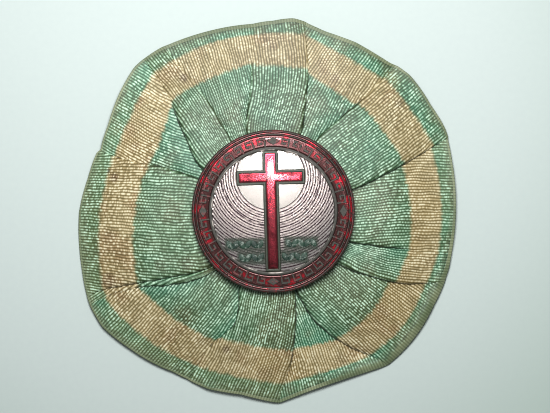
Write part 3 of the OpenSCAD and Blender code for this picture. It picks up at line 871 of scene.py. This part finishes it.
class Recipe:
    """A material's node tree with short calls to add and join its nodes."""

    def __init__(self, name):
        self.material = bpy.data.materials.new(name)
        self.material.use_nodes = True
        self.tree = self.material.node_tree
        self.shader = self.tree.nodes["Principled BSDF"]

    def add(self, kind, settings=None, **sockets):
        """A node of that kind. Each socket, by name with _ for a space or by s0, s1, takes a
        number, a colour or another node's output."""
        node = self.tree.nodes.new("ShaderNode" + kind)
        for key, value in (settings or {}).items():
            setattr(node, key, value)
        for key, value in sockets.items():
            number = key[0] == "s" and key[1:].isdigit()
            self.feed(node.inputs[int(key[1:]) if number else key.replace("_", " ")], value)
        return node

    def feed(self, socket, value):
        if isinstance(value, bpy.types.NodeSocket):
            self.tree.links.new(value, socket)
        else:
            socket.default_value = value

    def math(self, operation, a, b=0.0, c=0.0, clamp=False):
        return self.add("Math", {"operation": operation, "use_clamp": clamp}, s0=a, s1=b, s2=c).outputs[0]

    def plus(self, a, b, clamp=False):
        return self.math("ADD", a, b, clamp=clamp)

    def minus(self, a, b):
        return self.math("SUBTRACT", a, b)

    def rest(self, a):
        """What is left of 1."""
        return self.math("SUBTRACT", 1.0, a)

    def times(self, a, b, *more, clamp=False):
        for value in more:
            a, b = self.math("MULTIPLY", a, b), value
        return self.math("MULTIPLY", a, b, clamp=clamp)

    def scaled(self, a, gain, offset):
        return self.math("MULTIPLY_ADD", a, gain, offset)

    def size(self, a):
        return self.math("ABSOLUTE", a)

    def between(self, value, low, high):
        """0 at low, 1 at high, eased between."""
        return self.add("MapRange", {"interpolation_type": "SMOOTHSTEP"},
                        s0=value, s1=low, s2=high, s3=0.0, s4=1.0).outputs[0]

    def blend(self, share, a, b, kind="MIX"):
        node = self.add("Mix", {"data_type": "RGBA", "blend_type": kind}, Factor=share)
        self.feed(node.inputs[6], a)
        self.feed(node.inputs[7], b)
        return node.outputs[2]

    def inside(self, value, low, full, last, high):
        """0 at low, 1 from full to last, 0 again at high."""
        return self.times(self.between(value, low, full), self.rest(self.between(value, last, high)))

    def wave(self, value, pitch, height):
        """A cosine of that pitch between 0 and 1; height is 0.5, or -0.5 to start low."""
        return self.scaled(self.math("COSINE", self.times(value, 2 * math.pi / pitch)), height, 0.5)

    def mark(self, name):
        return self.add("Attribute", {"attribute_name": name}).outputs["Fac"]

    def noise(self, vector, scale, detail, rough):
        return self.add("TexNoise", {"noise_dimensions": "3D"},
                        Vector=vector, Scale=scale, Detail=detail, Roughness=rough).outputs[0]

    def place(self):
        return self.add("TexCoord").outputs["Object"]

    def bump(self, height, distance, strength):
        return self.add("Bump", Height=height, Distance=distance, Strength=strength).outputs[0]

    def set(self, **sockets):
        for key, value in sockets.items():
            self.feed(self.shader.inputs[key.replace("_", " ")], value)
        return self.material


def colour(red, green, blue):
    """A colour as seen on a screen, 11 to 255, turned into the renderer's linear one."""
    return tuple(((v / 255 + 0.055) / 1.055) ** 2.4 for v in (red, green, blue)) + (1.0,)


def badge_place(m, middle=(0.0, 0.0)):
    """Vector in millimetres from a point of the badge's face, and the distance from it."""
    centre = m.add("VectorMath", {"operation": "SUBTRACT"}, s0=m.place(),
                   s1=((GATHER_X + middle[0]) * MM, (GATHER_Y + middle[1]) * MM, 0.0)).outputs[0]
    scaled = m.add("VectorMath", {"operation": "MULTIPLY"}, s0=centre, s1=(1000.0, 1000.0, 0.0)).outputs[0]
    return scaled, m.add("VectorMath", {"operation": "LENGTH"}, s0=scaled).outputs["Value"]


# Spots on the ribbon: x and y from the badge's middle, radius, strength, colour.
STAINS = [
    (-16.9, 25.1, 1.0, 0.65, (120, 70, 34)), (-31.0, -13.1, 1.8, 0.6, (128, 78, 40)),
    (-8.8, -26.0, 0.9, 0.6, (116, 68, 36)), (23.6, 20.3, 1.0, 0.4, (110, 82, 48)),
    (11.7, 25.0, 1.1, 0.6, (140, 92, 36)), (6.2, 33.4, 1.0, 0.5, (186, 160, 120)),
    (-31.1, 7.6, 0.35, 0.85, (58, 52, 38)), (-30.0, 6.3, 1.0, 0.75, (128, 84, 40)),
    (-16.0, -9.8, 1.6, 0.5, (112, 96, 54)), (-26.0, 12.4, 0.9, 0.4, (140, 96, 54)),
    (-31.0, -4.6, 1.4, 0.35, (128, 84, 44)), (-18.0, 21.0, 1.3, 0.35, (132, 88, 44)),
    (22.0, 24.5, 2.2, 0.4, (196, 164, 84)), (-2.0, -30.5, 1.6, 0.35, (134, 96, 50)),
    (13.0, -28.0, 1.6, 0.3, (140, 104, 58)), (-13.0, -24.0, 1.8, 0.35, (142, 118, 66)),
    (-21.1, -10.2, 1.5, 0.4, (116, 104, 62)), (30.8, 13.8, 1.3, 0.35, (112, 108, 66)),
    (2.9, -33.2, 1.3, 0.4, (134, 118, 78)), (8.7, -31.2, 1.4, 0.35, (134, 118, 82)),
]


def stained(m, base, ragged):
    """The table's spots laid over a colour: each falls off round its middle, with ragged edges."""
    for x, y, radius, strength, tint in STAINS:
        _, r = badge_place(m, (x, y))
        reach = m.times(r, m.scaled(ragged, 1.6, 0.2))
        share = m.times(m.rest(m.between(reach, radius * 0.3, radius * 1.25)), strength)
        base = m.blend(share, base, colour(*tint))
    return base


def ribbon_weave():
    """Watered silk: round ribs across the ribbon with broken dashes along them, in patches set in
    brick bond, a cream stripe between green ones, faded, stained, and dirty along the selvage.
    Painted into the colour: shade in the grooves, glints on the crests, sheen along the water marks,
    dark lines of shade along the pleats' edges and a shadow line inside the selvage."""
    m = Recipe("ribbon_weave")
    weave = m.add("UVMap", {"uv_map": "weave"}).outputs[0]
    split = m.add("SeparateXYZ", Vector=weave)
    rib, row = split.outputs[0], split.outputs[1]
    place = m.place()
    spread = lambda x, y: m.add("CombineXYZ", X=x, Y=y).outputs[0]
    rib_number = m.math("ROUND", rib)
    crest = m.wave(rib, 1.0, 0.5)
    patch = m.noise(place, 150.0, 3.0, 0.55)
    wide = m.noise(place, 60.0, 2.0, 0.5)
    # Water marks, painted as sheen: level lines of a slow noise that brighten the ribs and their glints.
    slow = m.noise(spread(m.times(rib, 0.06), m.times(row, 0.085)), 1.0, 1.0, 0.5)
    water_sheen = m.between(m.math("SINE", m.times(slow, 2 * math.pi * 6.5)), -0.3, 1.0)
    # Dashes along each rib, uneven ones and ones in brick bond.
    along = m.times(rib_number, 7.31)
    uneven = m.noise(spread(along, m.times(row, 0.7)), 1.0, 1.0, 0.5)
    dash = m.between(m.noise(spread(along, m.times(row, 2.0)), 1.0, 1.0, 0.5), 0.38, 0.62)
    brick = m.scaled(rib_number, 0.5, m.times(row, 1 / 0.6))
    brick = m.wave(m.scaled(slow, 9.0, brick), 1.0, 0.5)
    bonded = m.times(m.between(m.noise(place, 110.0, 2.0, 0.5), 0.48, 0.64), 0.65)
    dash = m.plus(m.times(dash, m.rest(bonded)), m.times(brick, bonded))
    # Dashes show in some places and hardly at all in others.
    dotted = m.scaled(m.between(m.noise(place, 75.0, 1.0, 0.5), 0.42, 0.6), 0.4, 0.6)
    dash = m.scaled(m.minus(dash, 0.52), dotted, 0.52)
    fine = m.noise(spread(m.times(rib, 2.0), m.times(row, 5.0)), 1.0, 3.0, 0.65)
    # Colours.
    band = m.plus(m.mark("band"), m.scaled(uneven, 0.2, -0.1))
    cream_share = m.inside(band, 0.86, 1.08, 1.93, 2.08)
    uneven_fade = m.scaled(patch, 1.5, m.scaled(wide, 0.9, -1.2))
    faded = m.plus(m.mark("faded"), uneven_fade, clamp=True)
    green = m.blend(faded, colour(73, 157, 122), colour(119, 138, 87))
    green = m.blend(m.times(m.between(patch, 0.54, 0.7), 0.35), green, colour(134, 122, 84))
    cream = m.blend(m.between(wide, 0.35, 0.65), colour(222, 198, 148), colour(204, 176, 118))
    cream = m.blend(m.times(m.between(patch, 0.5, 0.66), 0.45), cream, colour(190, 140, 90))
    base = stained(m, m.blend(cream_share, green, cream), fine)
    # Dirt along the selvage, the selvage itself, and a painted shadow line just inside the selvage.
    past = m.minus(row, m.mark("selvage"))
    loose = m.between(m.mark("selvage"), 0.75, 1.2)
    is_selvage = m.between(m.scaled(m.minus(uneven, 0.5), loose, past),
                           m.scaled(loose, 0.4, 0.04), m.scaled(loose, -0.7, -0.06))
    ribbed = m.rest(is_selvage)
    # Painted shadow: a dark line just inside the selvage, stronger where the rim curls up.
    selvage_shadow = m.times(m.rest(m.between(past, 0.05, 0.35)), ribbed)
    soiled = m.rest(m.between(m.scaled(uneven, -0.8, past), m.mark("soil_from"), m.mark("soil_to")))
    base = m.blend(m.times(soiled, 0.4), base, colour(122, 124, 88))
    selvage_shadow = m.times(selvage_shadow, m.scaled(m.between(m.mark("selvage"), 0.5, 0.68), 0.35, 0.25))
    base = m.blend(selvage_shadow, base, colour(62, 84, 60))
    bare = m.blend(m.between(patch, 0.35, 0.65), colour(118, 132, 98), colour(150, 158, 124))
    base = m.blend(is_selvage, base, bare)
    # Painted light and shade: dim grooves, round crests, and pale painted glints where a dash lies on a
    # crest.
    low_light = m.scaled(cream_share, 0.02, 0.25)
    outside = m.scaled(m.between(band, 0.96, 0.9), 0.24, 1.0)
    streak = m.noise(spread(m.times(along, 1.7), m.times(row, 0.12)), 1.0, 1.0, 0.5)
    streak = m.scaled(m.between(streak, 0.35, 0.65), 0.2, 0.9)
    light = m.times(m.scaled(crest, 0.55, low_light), outside, streak, m.scaled(water_sheen, 0.2, 0.88),
                    m.scaled(dash, 0.56, 0.7))
    light = m.plus(m.times(light, ribbed), m.times(is_selvage, m.scaled(crest, 0.4, 0.6)))
    light = m.times(light, m.mark("gloss"))
    # Painted shade: a dark line along each pleat's edge, where the upper layer shades the one below.
    lap = m.mark("lap")
    off_edge = m.times(m.size(m.minus(lap, m.math("ROUND", lap))), m.mark("span"))
    crease_shade = m.times(m.between(off_edge, 0.3, 0.05), m.between(m.mark("step"), 0.1, 0.5))
    light = m.times(light, m.scaled(crease_shade, -0.6, 1.0))
    light_red = m.math("POWER", light, m.scaled(cream_share, -0.1, 1.1))
    light_blue = m.math("POWER", light, 1.2)
    light = m.add("CombineXYZ", X=light_red, Y=light, Z=light_blue).outputs[0]
    base = m.blend(1.0, base, light, "MULTIPLY")
    glint = m.times(m.math("POWER", crest, 2.0), m.scaled(m.math("POWER", dash, 2.0), 0.9, 0.1),
                    m.scaled(water_sheen, 0.5, 0.55), m.scaled(m.between(past, 0.2, 1.2), 0.6, 0.4),
                    m.scaled(fine, 2.2, -0.2), m.mark("gloss"), m.rest(crease_shade), ribbed, 1.8, clamp=True)
    base = m.blend(glint, base, m.blend(cream_share, colour(216, 250, 222), colour(255, 246, 212)))
    height = m.plus(m.times(crest, 0.6), m.times(m.plus(dash, fine), 0.25))
    bump = m.bump(m.times(height, ribbed), 0.00008, 0.8)
    return m.set(Base_Color=base, Roughness=0.5, Normal=bump, Sheen_Weight=0.15, Sheen_Roughness=0.4)


def patinated_metal():
    """Dark struck metal under old patina: greenish on the cross's outline, grey on the inner
    ring, nearly black in the border, brown on the rim, with a painted highlight in patches along one edge."""
    m = Recipe("patinated_metal")
    place = m.place()
    _, r = badge_place(m)
    cloud = m.noise(place, 420.0, 4.0, 0.6)
    grit = m.noise(place, 2600.0, 3.0, 0.6)
    base = m.blend(m.between(r, 11.3, 11.5), colour(62, 68, 56), colour(56, 52, 46))
    base = m.blend(m.between(r, 11.95, 12.1), base, colour(56, 53, 46))
    base = m.blend(m.between(r, 14.3, 14.7), base, colour(66, 48, 44))
    base = m.blend(m.between(cloud, 0.3, 0.7), m.blend(0.35, base, colour(40, 46, 38)), base)
    base = m.blend(m.times(m.between(grit, 0.48, 0.66), 0.65), base, colour(34, 32, 28))
    border = m.times(m.between(r, 11.95, 12.1), m.between(m.noise(place, 1500.0, 2.0, 0.6), 0.52, 0.6))
    base = m.blend(m.times(border, 0.55), base, colour(126, 40, 44))
    # Painted highlight: patches along the inner ring's inner edge where it catches the light.
    edge_highlight = m.times(m.inside(r, 11.3, 11.42, 11.54, 11.7), m.between(cloud, 0.46, 0.62))
    base = m.blend(edge_highlight, base, colour(196, 186, 178))
    bump = m.bump(m.plus(grit, cloud), 0.00001, 0.6)
    rough = m.scaled(grit, 0.2, m.scaled(m.between(r, 11.2, 11.6), 0.2, 0.2))
    return m.set(Base_Color=base, Metallic=0.3, Roughness=rough,
                 Specular_IOR_Level=0.6, Normal=bump)


def engraved_silver():
    """Silvery pink metal with dark mauve engraved rings round the crossing of the cross, and a
    plain bright disc inside them. Away from the crossing the silver is painted darker as shade."""
    m = Recipe("engraved_silver")
    flat, r = badge_place(m, CROSSING)
    scatter = m.noise(flat, 0.9, 2.0, 0.5)
    grit = m.noise(flat, 5.0, 3.0, 0.65)
    line = m.wave(m.minus(r, HALO_R + 0.38), ENGRAVING, -0.5)
    _, other_r = badge_place(m, CROSSING + [0.4, 3.2])
    depth = m.scaled(m.wave(other_r, 0.95, -0.5), 0.6, 0.5)
    depth = m.times(depth, m.scaled(m.between(m.noise(flat, 2.4, 2.0, 0.5), 0.4, 0.6), 0.45, 0.72))
    line = m.times(m.between(line, 0.12, 0.66), depth)
    strong = m.size(m.minus(r, 9.2))
    strong = m.rest(m.between(strong, 0.05, 0.16))
    line = m.math("MAXIMUM", line, m.times(strong, m.between(scatter, 0.3, 0.6)))
    border = m.rest(m.between(m.size(m.minus(r, 6.42)), 0.03, 0.12))
    engraved = m.between(r, 6.55, 6.75)
    line = m.math("MAXIMUM", m.times(line, engraved), border)
    line = m.times(line, m.scaled(grit, 0.8, 0.7), clamp=True)
    silver = m.blend(m.between(scatter, 0.35, 0.65), colour(240, 223, 216), colour(220, 202, 200))
    # Painted shade: the silver is drawn darker away from the crossing.
    silver = m.blend(m.between(r, 9.0, 16.0), silver, colour(154, 149, 146))
    silver = m.blend(m.between(r, 6.3, 6.6), colour(190, 182, 176), silver)
    silver = m.blend(m.times(m.between(grit, 0.5, 0.75), 0.5), silver, colour(150, 130, 126))
    base = m.blend(line, silver, colour(54, 34, 42))
    for side, start, y, count in SPRIGS:
        middle = side * (start + (count - 1) * LEAF_PITCH / 2)
        base = m.blend(tarnish(m, middle, y, count * LEAF_PITCH / 2, grit), base, colour(60, 70, 60))
    bump = m.bump(grit, 0.00001, 0.4)
    rough = m.scaled(line, 0.4, m.scaled(grit, 0.08, 0.12))
    return m.set(Base_Color=base, Metallic=0.45, Roughness=rough, Normal=bump)


def tarnish(m, x, y, half_length, ragged):
    """Share of dark tarnish round a row of leaves: full over a box that reaches half_length to
    either side of its middle, and fading out raggedly over the last of it."""
    middle = on_cross(x, y)
    flat, _ = badge_place(m, middle)
    split = m.add("SeparateXYZ", Vector=flat)
    past_end = m.minus(m.size(split.outputs[0]), half_length + 0.3)
    past_side = m.minus(m.size(split.outputs[1]), 1.2)
    past = m.scaled(ragged, 1.6, m.math("MAXIMUM", past_end, past_side))
    return m.times(m.rest(m.between(past, 0.65, 1.05)), 0.85)


def red_glass(name, clear, shaded_red, burnt, low, high, coat, glow, tint):
    """Red enamel over bright metal: its clear red, painted duller below the cross's arms as shade,
    and its burnt red are mixed in patches between two noise levels, with dark speckles, and under
    the glossy surface the metal glows red. The head of the cross has less gloss and is painted darker
    as shade. Towards the inner ring the border's enamel is all burnt."""
    m = Recipe(name)
    place = m.place()
    cloud = m.noise(place, 420.0, 3.0, 0.6)
    speck = m.noise(place, 2200.0, 3.0, 0.65)
    face, r = badge_place(m)
    height = m.add("SeparateXYZ", Vector=face).outputs[1]
    # Painted shade: the red is drawn duller towards the badge's lower side.
    clear = m.blend(m.between(height, -0.5, 4.5), shaded_red, clear)
    inner = m.inside(r, 11.9, 12.0, 12.3, 13.1)
    share = m.times(m.between(cloud, low, high), m.rest(inner))
    base = m.blend(share, burnt, clear)
    base = m.blend(m.times(m.between(speck, 0.5, 0.68), 0.65), base, colour(54, 38, 38))
    # The head of the cross has lost its gloss, and its red is painted darker there as shade.
    worn_and_shaded = m.times(m.between(height, 7.8, 9.8), m.rest(m.between(r, 11.6, 11.9)))
    base = m.blend(m.times(worn_and_shaded, 0.45), base, colour(132, 44, 64))
    bump = m.bump(speck, 0.00001, 0.6)
    return m.set(Base_Color=base, Metallic=glow, Roughness=0.15, Specular_IOR_Level=0.7, Specular_Tint=tint,
                 Coat_Weight=m.scaled(worn_and_shaded, -0.75 * coat, coat), Coat_Roughness=0.055, Normal=bump)


def green_glass():
    """Dark green enamel with paler worn grains."""
    m = Recipe("green_glass")
    place = m.place()
    speck = m.noise(place, 1700.0, 3.0, 0.65)
    cloud = m.noise(place, 600.0, 2.0, 0.5)
    base = m.blend(m.between(cloud, 0.35, 0.65), colour(16, 46, 36), colour(38, 70, 54))
    base = m.blend(m.times(m.between(speck, 0.52, 0.64), 0.7), base, colour(150, 162, 152))
    bump = m.bump(speck, 0.00004, 0.5)
    return m.set(Base_Color=base, Roughness=0.55, Normal=bump)


def floor_paper():
    m = Recipe("floor_paper")
    grain = m.noise(m.place(), 900.0, 2.0, 0.5)
    base = m.blend(grain, colour(206, 218, 216), colour(211, 223, 220))
    # Painted shade: it dims a little towards the corners.
    away = m.add("VectorMath", {"operation": "DISTANCE"}, s0=m.place(), s1=(-0.012, 0.018, 0.0))
    base = m.blend(m.between(away.outputs["Value"], 0.052, 0.11), base, colour(186, 206, 195))
    return m.set(Base_Color=base, Roughness=0.6)


# Scene

# In metres
FLOOR_HALF = 0.6
CAMERA_Z, PICTURE_W, PICTURE_Z = 0.6, 0.103125, 0.005


def make_floor():
    mesh = bpy.data.meshes.new("floor")
    s = FLOOR_HALF
    mesh.from_pydata([(-s, -s, 0), (s, -s, 0), (s, s, 0), (-s, s, 0)], [], [(0, 1, 2, 3)])
    mesh.materials.append(floor_paper())
    floor = bpy.data.objects.new("floor", mesh)
    bpy.context.scene.collection.objects.link(floor)


def make_light(name, place, target, size, power, tint):
    light = bpy.data.lights.new(name, "AREA")
    light.shape = "DISK"
    light.size = size
    light.energy = power
    light.color = tint
    lamp = bpy.data.objects.new(name, light)
    lamp.visible_camera = False
    lamp.location = place
    lamp.rotation_mode = "QUATERNION"
    lamp.rotation_quaternion = (Vector(target) - Vector(place)).to_track_quat("-Z", "Y")
    bpy.context.scene.collection.objects.link(lamp)


def make_camera():
    """Straight above. The picture is PICTURE_W wide at the height PICTURE_Z."""
    camera = bpy.data.cameras.new("camera")
    camera.sensor_width = 36
    camera.lens = 36 * (CAMERA_Z - PICTURE_Z) / PICTURE_W
    camera.clip_start, camera.clip_end = 0.01, 10
    eye = bpy.data.objects.new("camera", camera)
    eye.location = (0.0015, 0.00086, CAMERA_Z)
    bpy.context.scene.collection.objects.link(eye)
    bpy.context.scene.camera = eye


make_ribbon(ribbon_weave())
metal = patinated_metal()
cross_red = red_glass("cross_red", colour(198, 62, 78), colour(150, 53, 64), colour(104, 34, 42), 0.34, 0.58,
                      0.7, 0.92, colour(255, 97, 111))
ring_red = red_glass("ring_red", colour(196, 30, 50), colour(176, 26, 42), colour(68, 44, 42), 0.49, 0.65,
                     0.2, 0.3, colour(255, 170, 176))
make_struck_plate(metal)
make_frets(metal)
make_lozenges(metal)
make_cross_outline(metal)
make_pin(metal)
make_field(engraved_silver())
make_border_enamel(ring_red)
make_edge_enamel(ring_red)
make_cross_enamel(cross_red)
make_leaves(green_glass())
make_floor()
make_camera()
make_light("flash", (0.00169, 0.01123, 0.247), (0.00164, 0.00821, 0), 0.0042, 0.00827, (1, 1, 1))
make_light("softbox", (-0.004, 0.074, 0.185), (-0.004, 0.069, 0), 0.1, 0.452, (0.99, 1, 0.99))
world = bpy.data.worlds.new("room")
bpy.context.scene.world = world
world.use_nodes = True
world.node_tree.nodes["Background"].inputs[0].default_value = (0.93, 0.98, 0.97, 1)
world.node_tree.nodes["Background"].inputs[1].default_value = 0.14
bpy.context.scene.view_settings.view_transform = "Standard"
bpy.context.scene.cycles.filter_width = 1.1
